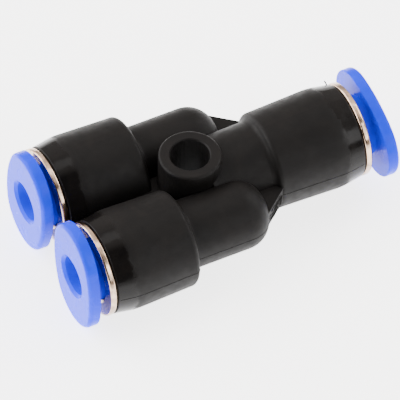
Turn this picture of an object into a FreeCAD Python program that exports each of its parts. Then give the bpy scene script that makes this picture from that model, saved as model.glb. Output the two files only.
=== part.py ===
import FreeCAD, Part
import math
import os

from FreeCAD import Vector

# Push-in Y union for 4 mm tubing: two parallel ports on -X, one port on +X.
# Millimetres. The origin is the middle of the mounting hole, +X points to the
# single port, +Z along the mounting hole, and the ports lie in the plane z = 0.

# Tube and layout of the three ports
TUBE_R = 2.0
TWIN_MOUTH = 13.2
TWIN_LIP_SPACING = 0.96
SINGLE_MOUTH = 17.75

# Outside of the moulded body
MOUTH_WALL = 0.8
MOUTH_ROUND = 0.15
TAPER_LENGTH = 2.3
TAPER_RISE = 0.37
TAPER_BLEND = 8.0
BELL_DRAFT = 0.23
TWIN_BELL_LENGTH = 9.35
SINGLE_BELL_LENGTH = 9.85
SHOULDER_ROUND = 0.6
SHOULDER_FILLET = 0.6
TWIN_BARREL_WALL = 1.57
TWIN_BARREL_END = 5.7
TWIN_BARREL_DOME = 0.8
NECK_STEP = 0.64
NECK_DRAFT = 0.12
NECK_START = 1.2

# Mounting boss
MOUNT_HOLE_R = 2.06
MOUNT_HOLE_CHAMFER = 0.12
BOSS_WALL = 1.2
BOSS_HALF_HEIGHT = 5.15
BOSS_ROUND = 0.3

# Webs on the mid-plane
WEB_THICKNESS = 2.0
WEB_MOUTH_SETBACK = 3.0
GUSSET_END_SETBACK = 1.5
GUSSET_SPREAD = 2.85
GUSSET_INSET = 0.1

# Inside of the body, from each mouth inwards
SOCKET_R = 4.2
TUBE_SEAT_CLEARANCE = 0.06
TUBE_SEAT_LENGTH = 3.2
PASSAGE_R = 1.3
PASSAGE_MERGE_X = 5.2
PASSAGE_TURN_X = 2.6

# Guide ring, pressed into each socket
LIP_THICKNESS = 0.8
LIP_OVERHANG = 0.02
LIP_ROUND = 0.22
LIP_SEAT_WIDTH = 0.35
LIP_RELIEF = 0.1
RING_FIT = 0.02
RING_WALL = 0.9
RING_STEP_DEPTH = 2.7
RING_TAIL_SPARE = 0.2
RING_MOUTH_CHAMFER = 0.3

# Release collar, which has play between its outer stop and the claw fingers
COLLAR_TRAVEL = 1.2
COLLAR_STOP_GAP = 0.13
COLLAR_BORE_CLEARANCE = 0.1
COLLAR_ENTRY = 0.3
COLLAR_RUN = 0.08
FLANGE_THICKNESS = 1.28
FLANGE_TAB = 2.92
FLANGE_SIDE = 1.05
FLANGE_END_TIGHTER = 0.3
FLANGE_EDGE_ROUND = 0.4
FLANGE_BACK_ROUND = 0.12
BARB_OVER = 0.25
BARB_LENGTH = 0.4
BARB_RUN = 0.18
NOSE_TIP_WALL = 0.3
NOSE_GAP = 0.07
COLLAR_SLOTS = 4
COLLAR_SLOT_WIDTH = 0.5
COLLAR_SLOT_ANGLE = 45.0
COLLAR_SLOT_START = 1.0

# Lock claw
CLAW_SHEET = 0.25
CLAW_RIM_GAP = 0.05
CLAW_RIM_WIDTH = 0.8
CLAW_TIP_BITE = 0.1
CLAW_SLOPE = 47.0
CLAW_FINGERS = 8
CLAW_SLOT_WIDTH = 0.42
CLAW_SLOT_ROOT = 0.2

# Spacer ring and seal
SPACER_GAP = 0.03
SPACER_BORE_CLEARANCE = 0.15
SPACER_RECESS_WALL = 0.45
SPACER_FLOOR = 0.35
SPACER_FLOOR_STEP = 0.3
SPACER_CLAW_GAP = 0.15
SEAL_SECTION_R = 0.78
SEAL_SQUEEZE = 0.1
SEAL_FIT = 0.04
SEAL_SIDE_PLAY = 0.14
SEAL_STEP_CHAMFER = 0.2

# As found at rest: each oval flange's turn from upright, and how far it is pushed in
FRONT_TURN = -6.5
BACK_TURN = 7.0
SINGLE_TURN = -77.0
TWIN_PUSHED_IN = 0.54
SINGLE_PUSHED_IN = 0.0

# How far a cutter runs past a face, and one outside shape into the next
OVERRUN = 1.0

AXIS_X = Vector(1, 0, 0)
AXIS_Z = Vector(0, 0, 1)
ORIGIN = Vector(0, 0, 0)


def lathe(profile):
    """A solid turned about X from (x, radius) points of a closed outline."""
    points = [Vector(x, 0, r) for x, r in profile]
    wire = Part.makePolygon(points + [points[0]])
    return Part.Face(wire).revolve(ORIGIN, AXIS_X, 360)


def rod(x_low, x_high, radius, y=0.0):
    """A cylinder along X between two places."""
    return Part.makeCylinder(radius, x_high - x_low, Vector(x_low, y, 0), AXIS_X)


def ring_edges(solid, x, radius):
    """The circular edges at one place along X with one radius."""
    found = []
    for edge in solid.Edges:
        curve = edge.Curve
        if isinstance(curve, Part.Circle) and abs(curve.Radius - radius) < 1e-4:
            if abs(curve.Center.x - x) < 1e-4:
                found.append(edge)
    return found


def placed(shape, mouth_x, y, points_left):
    """Moves a piece built along +X at a mouth to its port."""
    copy = shape.copy()
    if points_left:
        copy.rotate(ORIGIN, AXIS_Z, 180)
    copy.translate(Vector(mouth_x, y, 0))
    return copy


# Radii that follow from the values above
mouth_r = SOCKET_R + MOUTH_WALL
taper_top_r = mouth_r + TAPER_RISE
shoulder_r = taper_top_r - BELL_DRAFT
neck_r = shoulder_r - NECK_STEP
lip_r = mouth_r + LIP_OVERHANG
lip_seat_r = SOCKET_R + LIP_SEAT_WIDTH
tube_seat_r = TUBE_R + TUBE_SEAT_CLEARANCE
twin_barrel_r = tube_seat_r + TWIN_BARREL_WALL
boss_r = MOUNT_HOLE_R + BOSS_WALL
insert_r = SOCKET_R - RING_FIT
ring_bore_r = insert_r - RING_WALL
collar_bore_r = TUBE_R + COLLAR_BORE_CLEARANCE
sleeve_r = ring_bore_r - COLLAR_RUN
flange_long_r = sleeve_r + FLANGE_TAB
flange_short_r = sleeve_r + FLANGE_SIDE
barb_r = ring_bore_r + BARB_OVER
ring_tail_r = barb_r + BARB_RUN
nose_r = collar_bore_r + NOSE_TIP_WALL
claw_outer_r = SOCKET_R - CLAW_RIM_GAP
claw_root_r = claw_outer_r - CLAW_RIM_WIDTH
claw_tip_r = TUBE_R - CLAW_TIP_BITE
seal_middle_r = TUBE_R - SEAL_SQUEEZE + SEAL_SECTION_R
seal_pocket_r = seal_middle_r + SEAL_SECTION_R + SEAL_FIT

# Places along X
port_y = lip_r + TWIN_LIP_SPACING / 2
twin_shoulder = TWIN_MOUTH - TWIN_BELL_LENGTH
single_shoulder = SINGLE_MOUTH - SINGLE_BELL_LENGTH

# Places along a port's axis, where 0 is the mouth and minus is inwards
flange_back = LIP_THICKNESS + COLLAR_TRAVEL + COLLAR_STOP_GAP
flange_front = flange_back + FLANGE_THICKNESS
barb_start = -(RING_STEP_DEPTH + COLLAR_STOP_GAP)
barb_end = barb_start - BARB_LENGTH
ring_end = barb_end - COLLAR_TRAVEL - RING_TAIL_SPARE
claw_face = ring_end - CLAW_RIM_GAP
claw_slope = math.tan(math.radians(CLAW_SLOPE))
claw_sheet_along = CLAW_SHEET / math.cos(math.radians(CLAW_SLOPE))
claw_tip = claw_face - (claw_root_r - claw_tip_r) * claw_slope
claw_end = claw_tip - claw_sheet_along
nose_tip = claw_face - (claw_root_r - nose_r) * claw_slope + COLLAR_TRAVEL + NOSE_GAP
spacer_face = claw_face - CLAW_SHEET - SPACER_GAP
spacer_floor = claw_end - SPACER_CLAW_GAP
spacer_back = spacer_floor - SPACER_FLOOR
socket_floor = spacer_back - SPACER_GAP
seal_pocket_end = socket_floor - 2 * SEAL_SECTION_R - SEAL_SIDE_PLAY
tube_seat_end = seal_pocket_end - TUBE_SEAT_LENGTH


def oval_outline():
    """The flange's outline: two end arcs joined in line by two flatter side arcs."""
    end_r = flange_short_r - FLANGE_END_TIGHTER
    end_x = flange_long_r - end_r
    side_y = (end_x ** 2 - FLANGE_END_TIGHTER ** 2) / (2 * FLANGE_END_TIGHTER)
    reach = end_r / math.hypot(end_x, side_y)
    join_x = end_x * (1 + reach)
    join_y = side_y * reach
    joins = [Vector(x * join_x, y * join_y, 0) for x, y in ((1, -1), (1, 1), (-1, 1), (-1, -1))]
    tops = [
        Vector(flange_long_r, 0, 0), Vector(0, flange_short_r, 0),
        Vector(-flange_long_r, 0, 0), Vector(0, -flange_short_r, 0)]
    arcs = [Part.Arc(joins[n], tops[n], joins[(n + 1) % 4]).toShape() for n in range(4)]
    return Part.Wire(arcs)


def collar():
    """Acetal release collar: oval thumb flange on a sleeve with a slotted snap nose."""
    turned = lathe([
        (flange_front, collar_bore_r + COLLAR_ENTRY),
        (flange_front, sleeve_r),
        (barb_start, sleeve_r),
        (barb_start, barb_r),
        (barb_end, barb_r),
        (nose_tip, nose_r),
        (nose_tip, collar_bore_r),
        (flange_front - COLLAR_ENTRY, collar_bore_r),
    ])
    flange = Part.Face(oval_outline()).extrude(Vector(0, 0, FLANGE_THICKNESS))
    front = [e for e in flange.Edges if e.BoundBox.ZMin > FLANGE_THICKNESS - 1e-3]
    flange = flange.makeFillet(FLANGE_EDGE_ROUND, front)
    back = [e for e in flange.Edges if e.BoundBox.ZMax < 1e-3]
    flange = flange.makeFillet(FLANGE_BACK_ROUND, back)
    flange.rotate(ORIGIN, Vector(0, 1, 0), 90)
    flange.translate(Vector(flange_back, 0, 0))
    bore = lathe([
        (flange_front + OVERRUN, 0),
        (flange_front + OVERRUN, collar_bore_r + COLLAR_ENTRY + OVERRUN),
        (flange_front - COLLAR_ENTRY, collar_bore_r),
        (nose_tip - OVERRUN, collar_bore_r),
        (nose_tip - OVERRUN, 0),
    ])
    solid = turned.fuse(flange).cut(bore)
    slot_low = nose_tip - OVERRUN
    slot_reach = barb_r + OVERRUN
    for n in range(COLLAR_SLOTS // 2):
        slot = Part.makeBox(
            -COLLAR_SLOT_START - slot_low, COLLAR_SLOT_WIDTH, 2 * slot_reach,
            Vector(slot_low, -COLLAR_SLOT_WIDTH / 2, -slot_reach))
        slot.rotate(ORIGIN, AXIS_X, COLLAR_SLOT_ANGLE + n * 360 / COLLAR_SLOTS)
        solid = solid.cut(slot)
    return solid.removeSplitter()


def guide_ring():
    """Plated brass sleeve: a lip that seats on the mouth, and a step that keeps the collar in."""
    solid = lathe([
        (LIP_THICKNESS, ring_bore_r + RING_MOUTH_CHAMFER),
        (LIP_THICKNESS, lip_r),
        (LIP_RELIEF, lip_r),
        (LIP_RELIEF, lip_seat_r),
        (0, lip_seat_r),
        (0, insert_r),
        (ring_end, insert_r),
        (ring_end, ring_tail_r),
        (-RING_STEP_DEPTH, ring_tail_r),
        (-RING_STEP_DEPTH, ring_bore_r),
        (LIP_THICKNESS - RING_MOUTH_CHAMFER, ring_bore_r),
    ])
    corners = ring_edges(solid, LIP_THICKNESS, lip_r) + ring_edges(solid, LIP_RELIEF, lip_r)
    return solid.makeFillet(LIP_ROUND, corners)


def lock_claw():
    """Stainless spring ring: a flat rim and fingers that slope in to the tube."""
    back_root_r = claw_root_r + (claw_sheet_along - CLAW_SHEET) / claw_slope
    solid = lathe([
        (claw_face, claw_outer_r),
        (claw_face, claw_root_r),
        (claw_tip, claw_tip_r),
        (claw_end, claw_tip_r),
        (claw_face - CLAW_SHEET, back_root_r),
        (claw_face - CLAW_SHEET, claw_outer_r),
    ])
    slot_low = claw_end - OVERRUN
    slot_high = claw_face + OVERRUN
    for n in range(CLAW_FINGERS):
        slot = Part.makeBox(
            slot_high - slot_low, CLAW_SLOT_WIDTH, claw_root_r + CLAW_SLOT_ROOT,
            Vector(slot_low, -CLAW_SLOT_WIDTH / 2, 0))
        slot.rotate(ORIGIN, AXIS_X, (n + 0.5) * 360 / CLAW_FINGERS)
        solid = solid.cut(slot)
    return solid


def spacer_ring():
    """Plastic ring behind the claw, coned out so that the fingers can open."""
    bore_r = TUBE_R + SPACER_BORE_CLEARANCE
    return lathe([
        (spacer_face, insert_r - SPACER_RECESS_WALL),
        (spacer_face, insert_r),
        (spacer_back, insert_r),
        (spacer_back, bore_r),
        (spacer_floor, bore_r),
        (spacer_floor, bore_r + SPACER_FLOOR_STEP),
    ])


def seal_ring():
    """O-ring that sits in the body's pocket behind the spacer."""
    middle = (socket_floor + seal_pocket_end) / 2
    return Part.makeTorus(seal_middle_r, SEAL_SECTION_R, Vector(middle, 0, 0), AXIS_X)


def bell(mouth_x, shoulder_x):
    """One socket's outside: a drafted barrel with a rounded shoulder and a tapered end."""
    solid = lathe([
        (shoulder_x, 0),
        (shoulder_x, shoulder_r),
        (mouth_x - TAPER_LENGTH, taper_top_r),
        (mouth_x, mouth_r),
        (mouth_x, 0),
    ])
    solid = solid.makeFillet(SHOULDER_ROUND, ring_edges(solid, shoulder_x, shoulder_r))
    taper_top = ring_edges(solid, mouth_x - TAPER_LENGTH, taper_top_r)
    solid = solid.makeFillet(TAPER_BLEND, taper_top)
    return solid.makeFillet(MOUTH_ROUND, ring_edges(solid, mouth_x, mouth_r))


def socket_cut():
    """What a port takes out of the body: socket, seal pocket and tube seat."""
    return lathe([
        (OVERRUN, 0),
        (OVERRUN, SOCKET_R),
        (socket_floor, SOCKET_R),
        (socket_floor, seal_pocket_r),
        (seal_pocket_end, seal_pocket_r),
        (seal_pocket_end, tube_seat_r + SEAL_STEP_CHAMFER),
        (seal_pocket_end - SEAL_STEP_CHAMFER, tube_seat_r),
        (tube_seat_end, tube_seat_r),
        (tube_seat_end, 0),
    ])


def passages():
    """Bores that join the three sockets, passing clear of the mounting hole."""
    merge = Vector(PASSAGE_MERGE_X, 0, 0)
    cut = rod(merge.x, SINGLE_MOUTH + socket_floor, PASSAGE_R)
    cut = cut.fuse(Part.makeSphere(PASSAGE_R, merge))
    for y in (-port_y, port_y):
        turn = Vector(PASSAGE_TURN_X, y, 0)
        run = merge - turn
        straight = rod(-TWIN_MOUTH - socket_floor, turn.x, PASSAGE_R, y)
        slant = Part.makeCylinder(PASSAGE_R, run.Length, turn, run)
        cut = cut.fuse([straight, Part.makeSphere(PASSAGE_R, turn), slant])
    return cut


def webs():
    """Mid-plane webs: one between the twin barrels and a gusset at each side."""
    low = -WEB_THICKNESS / 2
    web_length = TWIN_MOUTH - WEB_MOUTH_SETBACK
    found = [Part.makeBox(
        web_length, 2 * port_y, WEB_THICKNESS, Vector(-web_length, -port_y, low))]
    shoulder_edge = single_shoulder + SHOULDER_ROUND / 2
    for side in (-1, 1):
        corners = [
            Vector(0, side * port_y, low),
            Vector(TWIN_BARREL_END - GUSSET_END_SETBACK, side * (port_y + GUSSET_SPREAD), low),
            Vector(shoulder_edge, side * (shoulder_r - GUSSET_INSET), low),
            Vector(shoulder_edge, 0, low),
        ]
        face = Part.Face(Part.makePolygon(corners + [corners[0]]))
        found.append(face.extrude(Vector(0, 0, WEB_THICKNESS)))
    return found


def body():
    """The one moulding: three bells, twin barrels, neck, boss and webs, bored out."""
    twin_barrel = rod(-TWIN_BARREL_END, twin_shoulder + OVERRUN, twin_barrel_r)
    tip = ring_edges(twin_barrel, -TWIN_BARREL_END, twin_barrel_r)
    twin_barrel = twin_barrel.makeFillet(TWIN_BARREL_DOME * twin_barrel_r, tip)
    twin = bell(TWIN_MOUTH, twin_shoulder).fuse(twin_barrel)
    valley = ring_edges(twin, twin_shoulder, twin_barrel_r)
    twin = twin.makeFillet(SHOULDER_FILLET, valley)
    neck_end = single_shoulder + OVERRUN
    neck = lathe([
        (NECK_START, 0),
        (NECK_START, neck_r - NECK_DRAFT),
        (neck_end, neck_r),
        (neck_end, 0),
    ])
    single = bell(SINGLE_MOUTH, single_shoulder).fuse(neck)
    valley = []
    for edge in single.Edges:
        if isinstance(edge.Curve, Part.Circle) and edge.Curve.Radius < neck_r:
            if abs(edge.Curve.Center.x - single_shoulder) < SHOULDER_ROUND:
                valley.append(edge)
    single = single.makeFillet(SHOULDER_FILLET, valley)
    outside = [placed(twin, 0, y, True) for y in (-port_y, port_y)] + [single]
    boss_low = Vector(0, 0, -BOSS_HALF_HEIGHT)
    boss = Part.makeCylinder(boss_r, 2 * BOSS_HALF_HEIGHT, boss_low, AXIS_Z)
    rims = [e for e in boss.Edges if isinstance(e.Curve, Part.Circle)]
    boss = boss.makeFillet(BOSS_ROUND, rims)
    solid = boss.fuse(outside + webs())
    cuts = [passages(), placed(socket_cut(), SINGLE_MOUTH, 0, False)]
    cuts += [placed(socket_cut(), -TWIN_MOUTH, y, True) for y in (-port_y, port_y)]
    cuts.append(Part.makeCylinder(MOUNT_HOLE_R, 2 * BOSS_HALF_HEIGHT, boss_low, AXIS_Z))
    for side in (-1, 1):
        cone = Part.makeCone(
            MOUNT_HOLE_R + MOUNT_HOLE_CHAMFER, MOUNT_HOLE_R, MOUNT_HOLE_CHAMFER,
            Vector(0, 0, side * BOSS_HALF_HEIGHT), Vector(0, 0, -side))
        cuts.append(cone)
    return solid.cut(cuts).removeSplitter()


def save(name, shape):
    solid = shape.Solids[0] if len(shape.Solids) == 1 else shape
    if not solid.isValid():
        print(name, "is not valid")
    print(name, "solids", len(shape.Solids), "volume", round(shape.Volume, 2))
    solid.exportStep("parts/" + name + ".step")


os.makedirs("parts", exist_ok=True)
save("body", body())

PORTS = [
    ("front", -TWIN_MOUTH, -port_y, True, FRONT_TURN, TWIN_PUSHED_IN),
    ("back", -TWIN_MOUTH, port_y, True, BACK_TURN, TWIN_PUSHED_IN),
    ("single", SINGLE_MOUTH, 0.0, False, SINGLE_TURN, SINGLE_PUSHED_IN),
]
PIECES = [
    ("guide_ring", guide_ring()),
    ("lock_claw", lock_claw()),
    ("spacer_ring", spacer_ring()),
    ("o_ring", seal_ring()),
]
collar_shape = collar()
for port, mouth_x, y, points_left, turn, pushed_in in PORTS:
    for piece, shape in PIECES:
        save(piece + "_" + port, placed(shape, mouth_x, y, points_left))
    turned_collar = collar_shape.translated(Vector(-pushed_in, 0, 0))
    turned_collar = placed(turned_collar, 0, 0, points_left)
    turned_collar.rotate(ORIGIN, AXIS_X, turn)
    turned_collar.translate(Vector(mouth_x, y, 0))
    save("release_collar_" + port, turned_collar)
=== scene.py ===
import math

import bmesh
import bpy
from mathutils import Matrix, Vector
from mathutils.bvhtree import BVHTree
from mathutils.noise import noise as smooth_noise


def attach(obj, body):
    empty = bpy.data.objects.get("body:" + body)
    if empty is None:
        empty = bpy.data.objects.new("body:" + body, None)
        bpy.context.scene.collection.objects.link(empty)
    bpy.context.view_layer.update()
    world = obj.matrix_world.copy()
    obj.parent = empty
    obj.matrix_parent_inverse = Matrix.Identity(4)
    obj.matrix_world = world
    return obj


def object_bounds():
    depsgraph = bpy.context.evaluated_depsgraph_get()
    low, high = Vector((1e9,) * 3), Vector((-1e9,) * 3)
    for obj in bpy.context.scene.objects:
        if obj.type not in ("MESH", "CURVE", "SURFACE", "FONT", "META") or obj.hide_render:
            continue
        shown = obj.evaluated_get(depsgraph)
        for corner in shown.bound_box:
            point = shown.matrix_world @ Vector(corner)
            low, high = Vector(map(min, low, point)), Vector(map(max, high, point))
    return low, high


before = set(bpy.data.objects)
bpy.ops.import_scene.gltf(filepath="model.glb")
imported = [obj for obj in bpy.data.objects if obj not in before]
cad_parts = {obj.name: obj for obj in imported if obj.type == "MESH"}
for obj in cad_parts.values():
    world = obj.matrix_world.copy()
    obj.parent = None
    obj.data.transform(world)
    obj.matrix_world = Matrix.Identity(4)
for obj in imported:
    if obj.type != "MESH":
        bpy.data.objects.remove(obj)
cad_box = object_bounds()

MM = 0.001

# Camera, from the fit to the photograph's rings, boss and outlines: angles in degrees, the
# scale in pixels per mm, the target in mm, half the picture's width in pixels, clips in metres
CAMERA_AZIMUTH = -27.682
CAMERA_ELEVATION = 49.334
CAMERA_ROLL = 1.463
CAMERA_FIELD = 2.0
CAMERA_SCALE = 9.805
CAMERA_TARGET = (0.244, -1.997, 0.0)
HALF_FRAME = 200.0
CLIP_NEAR = 0.05
CLIP_FAR = 20.0

# Studio: a light table in a pale tent, with the dark room behind the camera.
# Lengths in mm, angles in degrees, glow as radiance.
FLOOR_LINES = (0.0, 12.0, 26.0, 44.0, 70.0, 120.0, 300.0, 900.0, 2000.0)
FLOOR_GLOW = 3.4
FLOOR_FAR_GLOW = 0.5
LIT_RADIUS = 36.0
DIM_RADIUS = 80.0
TENT_FRONT_GLOW = 0.9
TENT_BACK_GLOW = 1.7
TENT_BACK_AZIMUTH = 165.0
TENT_BACK_ELEVATION = 50.0
TENT_BLEND_START = -0.2
HORIZON_SHARE = 0.35
HORIZON_TOP = 0.5
OPENING_SHARE = 0.03
OPENING_AZIMUTH = -20.0
OPENING_ELEVATION = 40.0
OPENING_HALF_ANGLE = 42.0
OPENING_SOFT_ANGLE = 6.0
SOFTBOX_DISTANCE = 500.0
# Each softbox: azimuth, elevation, width, height, glow
SOFTBOXES = {
    "front_right_softbox": (29.0, 31.0, 290.0, 330.0, 5.2),
    "overhead_softbox": (150.0, 76.0, 230.0, 160.0, 2.0),
    "right_softbox": (95.0, 34.0, 260.0, 260.0, 6.0),
    "left_key_softbox": (-122.0, 28.0, 820.0, 520.0, 5.8),
}

# The fitting's own lengths that the finishes follow, in mm
POLISHED_LENGTH = 2.0
POLISH_FADE = 0.3
POLISH_WANDER = 1.2
MOUTH_EDGE = 0.06
MOUNT_HOLE_R = 2.06
HOLE_SKIN = 0.02
HOLE_SKIN_FADE = 0.04

# The mould's witness line, in mm
PARTING_BEAD_R = 0.045
PARTING_BEAD_SUNK = 0.012
PARTING_END_INSET = 0.2
PARTING_STEP = 0.25
PARTING_CHORD = 0.16
BEAD_SIDES = 8

# The torn gate on the front gusset: lengths in mm, shares of its height without a unit
GATE_FROM_X = 5.5
GATE_TO_X = 8.0
GATE_HEIGHT = 1.7
GATE_PROUD = 0.36
GATE_SUNK = 0.08
GATE_VALLEY = 0.02
GATE_COLUMNS = 48
GATE_ROWS = 30
GATE_RIDGES = 3
RIDGE_DRIFT = 0.3
RIDGE_FOOT = 0.1
RIDGE_SHARPNESS = 1.6
RIDGE_END_FADE = 4
RIDGE_EDGE_FADE = 3
TEAR_MIDDLE = 0.75
TEAR_SWING = 0.5
# Noise over the gate: waves along it, waves up it, and which slice of the noise is taken
DRIFT_NOISE = (2.5, 1.5, 4.0)
TEAR_NOISE = (9.0, 5.0, 1.0)

# The hair of flash on the single port: lengths in mm, shares of its length without a unit
WHISKER_X = 17.55
WHISKER_ANGLE = 138.0
WHISKER_LENGTH = 0.5
WHISKER_R = 0.07
WHISKER_ROOT = 0.1
WHISKER_BEND = 0.2
WHISKER_STEPS = 8

# A start for rays that meet the body from outside, in mm
OUTSIDE = 50.0


def colour(hex_value):
    """An sRGB hex value as the linear colour that a shader takes."""
    parts = [int(hex_value[i:i + 2], 16) / 255 for i in (1, 3, 5)]
    linear = [p / 12.92 if p <= 0.04045 else ((p + 0.055) / 1.055) ** 2.4 for p in parts]
    return (*linear, 1.0)


def per_feature(size):
    """A texture's scale for features of a size in mm, on coordinates in metres."""
    return 1 / (size * MM)


def feed(tree, socket, value):
    """Gives an input what another node puts out, or else a fixed value."""
    if isinstance(value, bpy.types.NodeSocket):
        tree.links.new(value, socket)
    else:
        socket.default_value = value


def add_node(tree, kind, inputs=(), **settings):
    """Adds a node. A setting names a property or an input, and inputs go by their number."""
    node = tree.nodes.new(kind)
    for name, value in settings.items():
        if hasattr(node, name):
            setattr(node, name, value)
        else:
            feed(tree, node.inputs[name.replace("_", " ")], value)
    for number, value in dict(inputs).items():
        feed(tree, node.inputs[number], value)
    return node


def calculate(tree, operation, *numbers):
    """A number worked out from numbers."""
    node = add_node(tree, "ShaderNodeMath", enumerate(numbers), operation=operation)
    return node.outputs[0]


def measure(tree, operation, *vectors):
    """A number worked out from vectors."""
    node = add_node(tree, "ShaderNodeVectorMath", enumerate(vectors), operation=operation)
    return node.outputs["Value"]


def scaled(tree, place, *shares):
    """A place with its three coordinates scaled."""
    return add_node(tree, "ShaderNodeMapping", Vector=place, Scale=shares).outputs[0]


def noise_over(tree, place, size, detail, **settings):
    """Noise from 0 to 1, with features of a size in mm."""
    node = add_node(
        tree, "ShaderNodeTexNoise", Vector=place, Scale=per_feature(size), Detail=detail,
        **settings)
    return node.outputs["Fac"]


def ranged(tree, value, start, end, low=0.0, high=1.0, **settings):
    """A number that goes from low to high while a value goes from start to end."""
    node = add_node(
        tree, "ShaderNodeMapRange", Value=value, From_Min=start, From_Max=end, To_Min=low,
        To_Max=high, **settings)
    return node.outputs[0]


def toned(tree, value, start, end, first, last):
    """A colour that goes from one hex value to another while a value goes from start to end."""
    node = add_node(tree, "ShaderNodeValToRGB", Fac=value)
    stops = node.color_ramp.elements
    stops[0].position, stops[0].color = start, colour(first)
    stops[1].position, stops[1].color = end, colour(last)
    return node.outputs["Color"]


def relief(tree, height, depth, strength=1.0, **settings):
    """Bumps of a depth in mm, which lie on another relief if Normal gives one."""
    node = add_node(
        tree, "ShaderNodeBump", Height=height, Strength=strength, Distance=depth * MM,
        **settings)
    return node.outputs[0]


def new_material(name):
    """An empty material, its tree, and the place on the object that it colours."""
    material = bpy.data.materials.new(name)
    material.use_nodes = True
    tree = material.node_tree
    tree.nodes.clear()
    place = add_node(tree, "ShaderNodeTexCoord").outputs["Object"]
    return material, tree, place


def add_surface(tree, **settings):
    """Ends a material's tree with its shader."""
    shader = add_node(tree, "ShaderNodeBsdfPrincipled", **settings)
    add_node(tree, "ShaderNodeOutputMaterial", Surface=shader.outputs[0])


def body_ends():
    """The places along X where the body begins and ends, in metres."""
    across = [v.co.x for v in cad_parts["body"].data.vertices]
    return min(across), max(across)


def add_object(name, data):
    """Adds an object to the scene."""
    thing = bpy.data.objects.new(name, data)
    bpy.context.scene.collection.objects.link(thing)
    return thing


def moulded_black_nylon():
    """Glass-filled nylon: satin from the spark-eroded mould, which leaves a fine grain that
    blurs every highlight, but lathe-polished on the tapered port ends, where the eye sees
    sharp reflections. The screw hole keeps the drag marks of its core pin. Its specular
    level is low, as the glowing floor would otherwise veil the black."""
    material, tree, place = new_material("moulded_black_nylon")
    left_end, right_end = body_ends()
    middle = (left_end + right_end) / 2
    mouth = (right_end - left_end) / 2
    taper_start = mouth + (POLISH_WANDER / 2 - POLISHED_LENGTH) * MM
    fade = POLISH_FADE * MM
    centred = add_node(tree, "ShaderNodeMapping", Vector=place, Location=(-middle, 0, 0))
    axes = add_node(tree, "ShaderNodeSeparateXYZ", Vector=centred.outputs[0])
    out = calculate(tree, "ABSOLUTE", axes.outputs["X"])
    wander = noise_over(tree, place, 1.1, 2.0)
    ragged = calculate(tree, "MULTIPLY_ADD", wander, POLISH_WANDER * MM, out)
    within = ranged(tree, ragged, taper_start - fade, taper_start + fade)
    off_edge = ranged(tree, out, mouth - MOUTH_EDGE * MM, mouth - 2 * MOUTH_EDGE * MM)
    polished = calculate(tree, "MULTIPLY", within, off_edge)
    satin = calculate(tree, "SUBTRACT", 1.0, polished)
    patchy = noise_over(tree, place, 0.9, 4.0)
    satin_gloss = ranged(tree, patchy, 0.3, 0.7, 0.48, 0.62)
    polished_gloss = ranged(tree, patchy, 0.3, 0.7, 0.09, 0.2)
    gloss = add_node(tree, "ShaderNodeMix", {0: polished, 2: satin_gloss, 3: polished_gloss})
    waves = noise_over(tree, place, 1.7, 1.0)
    sink = relief(tree, waves, 0.02)
    # Real mould grain is near 0.05 mm; 0.14 mm is the finest that the render can show
    grain = noise_over(tree, place, 0.14, 2.0)
    skin = relief(tree, grain, 0.006, satin, Normal=sink)
    drag = noise_over(tree, scaled(tree, place, 1.0, 1.0, 0.02), 0.28, 2.0)
    from_axis = measure(tree, "LENGTH", scaled(tree, place, 1.0, 1.0, 0.0))
    in_hole = ranged(
        tree, from_axis, (MOUNT_HOLE_R + HOLE_SKIN + HOLE_SKIN_FADE) * MM,
        (MOUNT_HOLE_R + HOLE_SKIN) * MM)
    scored = relief(tree, drag, 0.07, in_hole, Normal=skin)
    flow = noise_over(tree, place, 2.4, 3.0, Distortion=0.8)
    add_surface(
        tree, Base_Color=toned(tree, flow, 0.3, 0.75, "#0c0b0b", "#12100f"),
        Roughness=gloss.outputs[0], Normal=scored, IOR=1.53, Specular_IOR_Level=0.11)
    return material


def moulded_blue_acetal():
    """Unfilled acetal: a deep clear blue with the soft gloss of a polished mould, a little
    orange peel, faint clouding where the melt fronts met, and light that soaks in about
    1 mm. Its specular level is low for the same reason as the nylon's."""
    material, tree, place = new_material("moulded_blue_acetal")
    cloud = noise_over(tree, place, 1.8, 3.0, Distortion=0.6)
    peel = noise_over(tree, place, 0.45, 2.0)
    add_surface(
        tree, Base_Color=toned(tree, cloud, 0.3, 0.72, "#0824e0", "#0d2cec"),
        Roughness=ranged(tree, cloud, 0.3, 0.7, 0.2, 0.3), Normal=relief(tree, peel, 0.006),
        IOR=1.48, Specular_IOR_Level=0.07, Subsurface_Weight=0.2, Subsurface_Scale=1.0 * MM,
        Subsurface_Radius=(0.1, 0.25, 1.0))
    return material


def nickel_plated_brass():
    """Bright nickel over turned brass: warm grey metal that mirrors its surroundings, with
    the fine rings of the lathe under the plate and duller brown stains where moisture sat."""
    material, tree, place = new_material("nickel_plated_brass")
    stain = noise_over(tree, place, 1.0, 3.0, Roughness=0.55)
    # The tool feed is near 0.05 mm a turn; 0.6 mm is the finest that shows without a false pattern
    turned = add_node(
        tree, "ShaderNodeTexWave", Vector=place, wave_type="BANDS", bands_direction="X",
        Scale=per_feature(0.6) * math.pi / 10)
    add_surface(
        tree, Base_Color=toned(tree, stain, 0.38, 0.56, "#a38d7a", "#cfb39b"),
        Roughness=ranged(tree, stain, 0.35, 0.6, 0.26, 0.12),
        Normal=relief(tree, turned.outputs["Fac"], 0.002, 0.4), Metallic=1.0)
    return material


def stamped_spring_steel():
    """Cold-rolled stainless strip: bright grey with the long fine scratches of the roll."""
    material, tree, place = new_material("stamped_spring_steel")
    scratch = noise_over(tree, scaled(tree, place, 1.0, 1.0, 0.08), 0.15, 3.0)
    add_surface(
        tree, Base_Color=toned(tree, scratch, 0.0, 1.0, "#a9a9ab", "#c9c9ca"),
        Roughness=ranged(tree, scratch, 0.0, 1.0, 0.22, 0.42),
        Normal=relief(tree, scratch, 0.004, 0.5), Metallic=1.0)
    return material


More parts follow.
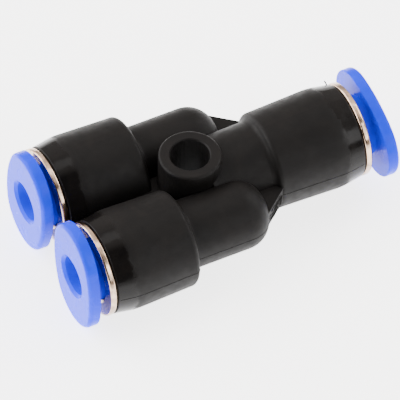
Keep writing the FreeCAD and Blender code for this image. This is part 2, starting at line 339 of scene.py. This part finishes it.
def moulded_pale_polymer():
    """Natural acetal: milky white with faint clouds, dull from a plain mould."""
    material, tree, place = new_material("moulded_pale_polymer")
    cloud = noise_over(tree, place, 1.2, 3.0)
    grain = noise_over(tree, place, 0.2, 2.0)
    add_surface(
        tree, Base_Color=toned(tree, cloud, 0.0, 1.0, "#d2cfc4", "#e4e2da"),
        Roughness=ranged(tree, cloud, 0.0, 1.0, 0.4, 0.58),
        Normal=relief(tree, grain, 0.006, 0.5), IOR=1.48)
    return material


def moulded_nitrile_rubber():
    """Black seal rubber: near matte, with a greasy bloom that lightens it in patches."""
    material, tree, place = new_material("moulded_nitrile_rubber")
    bloom = noise_over(tree, place, 0.7, 4.0)
    grain = noise_over(tree, place, 0.12, 2.0)
    add_surface(
        tree, Base_Color=toned(tree, bloom, 0.0, 1.0, "#101010", "#1e1d1c"),
        Roughness=ranged(tree, bloom, 0.0, 1.0, 0.7, 0.45),
        Normal=relief(tree, grain, 0.006, 0.6), IOR=1.52)
    return material


NYLON = moulded_black_nylon()
# The finish of each kind of piece, by its node's name without the port
FINISHES = {
    "body": NYLON,
    "guide_ring": nickel_plated_brass(),
    "lock_claw": stamped_spring_steel(),
    "spacer_ring": moulded_pale_polymer(),
    "o_ring": moulded_nitrile_rubber(),
    "release_collar": moulded_blue_acetal(),
}
for node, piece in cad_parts.items():
    kind = node if node == "body" else node.rsplit("_", 1)[0]
    piece.data.materials.clear()
    piece.data.materials.append(FINISHES[kind])


def surface_of(node):
    """A search tree over a node's surface."""
    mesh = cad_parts[node].data
    corners = [v.co for v in mesh.vertices]
    faces = [tuple(p.vertices) for p in mesh.polygons]
    return BVHTree.FromPolygons(corners, faces)


BODY_SURFACE = surface_of("body")


def outline_point(x, side):
    """Where the body's parting plane ends at a place along X, on the side towards -Y or +Y,
    and the way out from the surface there."""
    start = Vector((x, side * OUTSIDE * MM, 0.0))
    spot, normal, _, _ = BODY_SURFACE.ray_cast(start, Vector((0, -side, 0)))
    return spot, normal


def outline(side):
    """The edge of the parting plane on one side, with points close together where it steps."""
    left_end, right_end = body_ends()
    first = left_end + PARTING_END_INSET * MM
    last = right_end - PARTING_END_INSET * MM
    count = round((last - first) / (PARTING_STEP * MM))
    places = [first + (last - first) * i / count for i in range(count + 1)]
    spots = [outline_point(x, side)[0] for x in places]
    done = [spots[0]]
    for i in range(count):
        pieces = max(1, math.ceil((spots[i + 1] - spots[i]).length / (PARTING_CHORD * MM)))
        for k in range(1, pieces + 1):
            x = places[i] + (places[i + 1] - places[i]) * k / pieces
            done.append(outline_point(x, side)[0])
    return done


def face_outward(mesh):
    """Turns a closed mesh's faces outward."""
    shape = bmesh.new()
    shape.from_mesh(mesh)
    bmesh.ops.recalc_face_normals(shape, faces=shape.faces)
    shape.to_mesh(mesh)
    shape.free()


def bead_tree(material):
    """Geometry Nodes that lay a round bead along a line of points."""
    tree = bpy.data.node_groups.new("bead_along_line", "GeometryNodeTree")
    face = tree.interface
    face.new_socket("Line", in_out="INPUT", socket_type="NodeSocketGeometry")
    radius = face.new_socket("Bead radius", in_out="INPUT", socket_type="NodeSocketFloat")
    face.new_socket("Bead", in_out="OUTPUT", socket_type="NodeSocketGeometry")
    given = add_node(tree, "NodeGroupInput")
    line = add_node(tree, "GeometryNodeMeshToCurve", Mesh=given.outputs["Line"])
    round_profile = add_node(
        tree, "GeometryNodeCurvePrimitiveCircle", Radius=given.outputs["Bead radius"],
        Resolution=BEAD_SIDES)
    swept = add_node(
        tree, "GeometryNodeCurveToMesh", Curve=line.outputs[0],
        Profile_Curve=round_profile.outputs["Curve"], Fill_Caps=True)
    real = add_node(tree, "GeometryNodeRealizeInstances", Geometry=swept.outputs[0])
    dressed = add_node(
        tree, "GeometryNodeSetMaterial", Geometry=real.outputs[0], Material=material)
    add_node(tree, "NodeGroupOutput", Bead=dressed.outputs[0])
    return tree, radius.identifier


BEAD_TREE, BEAD_RADIUS_SOCKET = bead_tree(NYLON)


def mark_on_body(name, mesh):
    """A mould mark as a piece that moves with the body and shares its material slot."""
    piece = add_object(name, mesh)
    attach(piece, "body")


def sweep_line(name, spots, bead_r):
    """Lays a bead of a radius in mm along points, and keeps it as a plain mesh on the body."""
    path = bpy.data.meshes.new(name + "_line")
    links = [(i, i + 1) for i in range(len(spots) - 1)]
    path.from_pydata(spots, links, [])
    line = add_object(name + "_line", path)
    sweep = line.modifiers.new("bead", "NODES")
    sweep.node_group = BEAD_TREE
    sweep[BEAD_RADIUS_SOCKET] = bead_r * MM
    seen = line.evaluated_get(bpy.context.evaluated_depsgraph_get())
    mesh = bpy.data.meshes.new_from_object(seen)
    mesh.name = name
    bpy.data.objects.remove(line)
    mark_on_body(name, mesh)


def make_parting_beads():
    """The witness line where the mould halves met, a fine bead round the outside."""
    for side, name in ((-1, "parting_bead_front"), (1, "parting_bead_back")):
        inward = Vector((0, -side * PARTING_BEAD_SUNK * MM, 0))
        spots = [p + inward for p in outline(side)]
        sweep_line(name, spots, PARTING_BEAD_R)


def gate_noise(along, up, waves_along, waves_up, slice_taken):
    """Noise from -1 to 1 at a place on the gate given by two shares."""
    return smooth_noise(Vector((along * waves_along, up * waves_up, slice_taken)))


def ridge_height(along, up):
    """How far the torn gate stands out, from 0 to 1, at a place given by two shares. Slow
    noise lets the ridges drift, and a finer one tears their tops."""
    shift = RIDGE_DRIFT * gate_noise(along, up, *DRIFT_NOISE)
    wave = 0.5 + 0.5 * math.cos((up + shift) * math.pi * 2 * GATE_RIDGES)
    ridges = RIDGE_FOOT + (1 - RIDGE_FOOT) * wave ** RIDGE_SHARPNESS
    torn = TEAR_MIDDLE + TEAR_SWING * gate_noise(along, up, *TEAR_NOISE)
    fade_along = 1 - abs(2 * along - 1) ** RIDGE_END_FADE
    fade_up = 1 - abs(2 * up - 1) ** RIDGE_EDGE_FADE
    return ridges * torn * fade_along * fade_up


def make_gate_scar():
    """The torn stub of the gate on the front gusset, in ridges along the parting line: a grid
    of points over the stub, a second one sunk under the skin, and a wall round both."""
    columns, rows = GATE_COLUMNS, GATE_ROWS
    start, out = outline_point(GATE_FROM_X * MM, -1)
    end, _ = outline_point(GATE_TO_X * MM, -1)
    height = Vector((0, 0, GATE_HEIGHT * MM))
    corners, faces = [], []
    for layer in (0, 1):
        for i in range(columns + 1):
            for k in range(rows + 1):
                along, up = i / columns, k / rows
                spot = start.lerp(end, along) + height * (up - 0.5)
                rise = -GATE_SUNK
                if layer:
                    rise = ridge_height(along, up) * GATE_PROUD - GATE_VALLEY
                corners.append(spot + out * rise * MM)
    count = (columns + 1) * (rows + 1)
    for i in range(columns):
        for k in range(rows):
            a = i * (rows + 1) + k
            quad = (a, a + 1, a + rows + 2, a + rows + 1)
            faces.append(quad)
            faces.append(tuple(count + q for q in reversed(quad)))
    # The grid's border, once round
    rim = [i * (rows + 1) for i in range(columns + 1)]
    rim += [columns * (rows + 1) + k for k in range(1, rows + 1)]
    rim += [i * (rows + 1) + rows for i in range(columns - 1, -1, -1)]
    rim += range(rows - 1, 0, -1)
    for a, b in zip(rim, rim[1:] + rim[:1]):
        faces.append((b, a, count + a, count + b))
    mesh = bpy.data.meshes.new("gate_scar")
    mesh.from_pydata(corners, [], faces)
    face_outward(mesh)
    mesh.materials.append(NYLON)
    mark_on_body("gate_scar", mesh)


def make_whisker():
    """A hair of flash that stands up from the single port's tapered end."""
    turn = math.radians(WHISKER_ANGLE)
    out = Vector((0, -math.cos(turn), math.sin(turn)))
    far = Vector((WHISKER_X * MM, 0, 0)) + out * OUTSIDE * MM
    root, _, _, _ = BODY_SURFACE.ray_cast(far, -out)
    bend = Vector((-WHISKER_BEND, 0, 0))
    spots = []
    for i in range(WHISKER_STEPS + 1):
        share = i / WHISKER_STEPS
        way = out * (share - WHISKER_ROOT) + bend * share ** 2
        spots.append(root + way * WHISKER_LENGTH * MM)
    sweep_line("flash_whisker", spots, WHISKER_R)


def make_floor():
    """A glowing floor in tiles that are small near the object, where its light matters most.
    Its glow fades outside the camera's view, so that it doesn't veil the black flanks."""
    low = cad_box[0].z
    lines = [-v * MM for v in reversed(FLOOR_LINES[1:])] + [v * MM for v in FLOOR_LINES]
    count = len(lines)
    mesh = bpy.data.meshes.new("floor")
    corners = [(x, y, low) for y in lines for x in lines]
    tiles = []
    for j in range(count - 1):
        for i in range(count - 1):
            a = j * count + i
            tiles.append((a, a + 1, a + count + 1, a + count))
    mesh.from_pydata(corners, [], tiles)
    material, tree, place = new_material("opal_light_table")
    away = measure(tree, "LENGTH", place)
    glow = ranged(
        tree, away, LIT_RADIUS * MM, DIM_RADIUS * MM, FLOOR_GLOW, FLOOR_FAR_GLOW,
        interpolation_type="SMOOTHSTEP")
    add_surface(
        tree, Base_Color=colour("#f4f4f4"), Roughness=0.7, Emission_Color=colour("#ffffff"),
        Emission_Strength=glow)
    mesh.materials.append(material)
    floor = add_object("floor", mesh)


def direction(azimuth, elevation):
    """The way from the object towards a place in the studio."""
    turn, lift = math.radians(azimuth), math.radians(elevation)
    return Vector((
        math.sin(turn) * math.cos(lift), -math.cos(turn) * math.cos(lift), math.sin(lift)))


def make_softbox(name, azimuth, elevation, width, height, glow):
    """A softbox that looks at the object. Its power follows from its radiance and area."""
    way = direction(azimuth, elevation)
    data = bpy.data.lights.new(name, "AREA")
    data.shape = "RECTANGLE"
    data.size = width * MM
    data.size_y = height * MM
    data.energy = glow * math.pi * data.size * data.size_y
    light = add_object(name, data)
    light.location = way * SOFTBOX_DISTANCE * MM
    light.rotation_euler = way.to_track_quat("Z", "Y").to_euler()


def make_tent():
    """The studio's dome, pale all round but for the dark opening that the camera looks through."""
    world = bpy.data.worlds.new("tent")
    world.use_nodes = True
    tree = world.node_tree
    tree.nodes.clear()
    way = add_node(tree, "ShaderNodeTexCoord").outputs["Generated"]
    towards = measure(
        tree, "DOT_PRODUCT", way, direction(OPENING_AZIMUTH, OPENING_ELEVATION))
    outer = math.cos(math.radians(OPENING_HALF_ANGLE + OPENING_SOFT_ANGLE))
    inner = math.cos(math.radians(OPENING_HALF_ANGLE - OPENING_SOFT_ANGLE))
    opening = ranged(tree, towards, outer, inner, 1.0, OPENING_SHARE)
    backwards = measure(
        tree, "DOT_PRODUCT", way, direction(TENT_BACK_AZIMUTH, TENT_BACK_ELEVATION))
    cloth_glow = ranged(
        tree, backwards, TENT_BLEND_START, 1.0, TENT_FRONT_GLOW, TENT_BACK_GLOW)
    height = add_node(tree, "ShaderNodeSeparateXYZ", Vector=way).outputs["Z"]
    lift = ranged(tree, height, 0.0, HORIZON_TOP, HORIZON_SHARE, 1.0)
    share = calculate(tree, "MULTIPLY", lift, opening)
    glow = calculate(tree, "MULTIPLY", cloth_glow, share)
    cloth = add_node(tree, "ShaderNodeBackground", Strength=glow, Color=colour("#fff6f0"))
    add_node(tree, "ShaderNodeOutputWorld", Surface=cloth.outputs[0])
    bpy.context.scene.world = world


def make_camera():
    """A long lens at the photograph's angle, far enough off for its scale in pixels per mm."""
    back = direction(CAMERA_AZIMUTH, CAMERA_ELEVATION)
    distance = HALF_FRAME / math.tan(math.radians(CAMERA_FIELD / 2)) / CAMERA_SCALE * MM
    data = bpy.data.cameras.new("camera")
    data.angle = math.radians(CAMERA_FIELD)
    data.clip_start = CLIP_NEAR
    data.clip_end = CLIP_FAR
    camera = add_object("camera", data)
    level = Vector((0, 0, 1)).cross(back).normalized()
    up = back.cross(level)
    roll = math.radians(CAMERA_ROLL)
    right_axis = math.cos(roll) * level + math.sin(roll) * up
    up_axis = -math.sin(roll) * level + math.cos(roll) * up
    turned = Matrix((right_axis, up_axis, back)).transposed()
    place = Matrix.Translation(Vector(CAMERA_TARGET) * MM + back * distance)
    camera.matrix_world = place @ turned.to_4x4()
    bpy.context.scene.camera = camera


make_parting_beads()
make_gate_scar()
make_whisker()
make_floor()
make_tent()
for name, values in SOFTBOXES.items():
    make_softbox(name, *values)
make_camera()
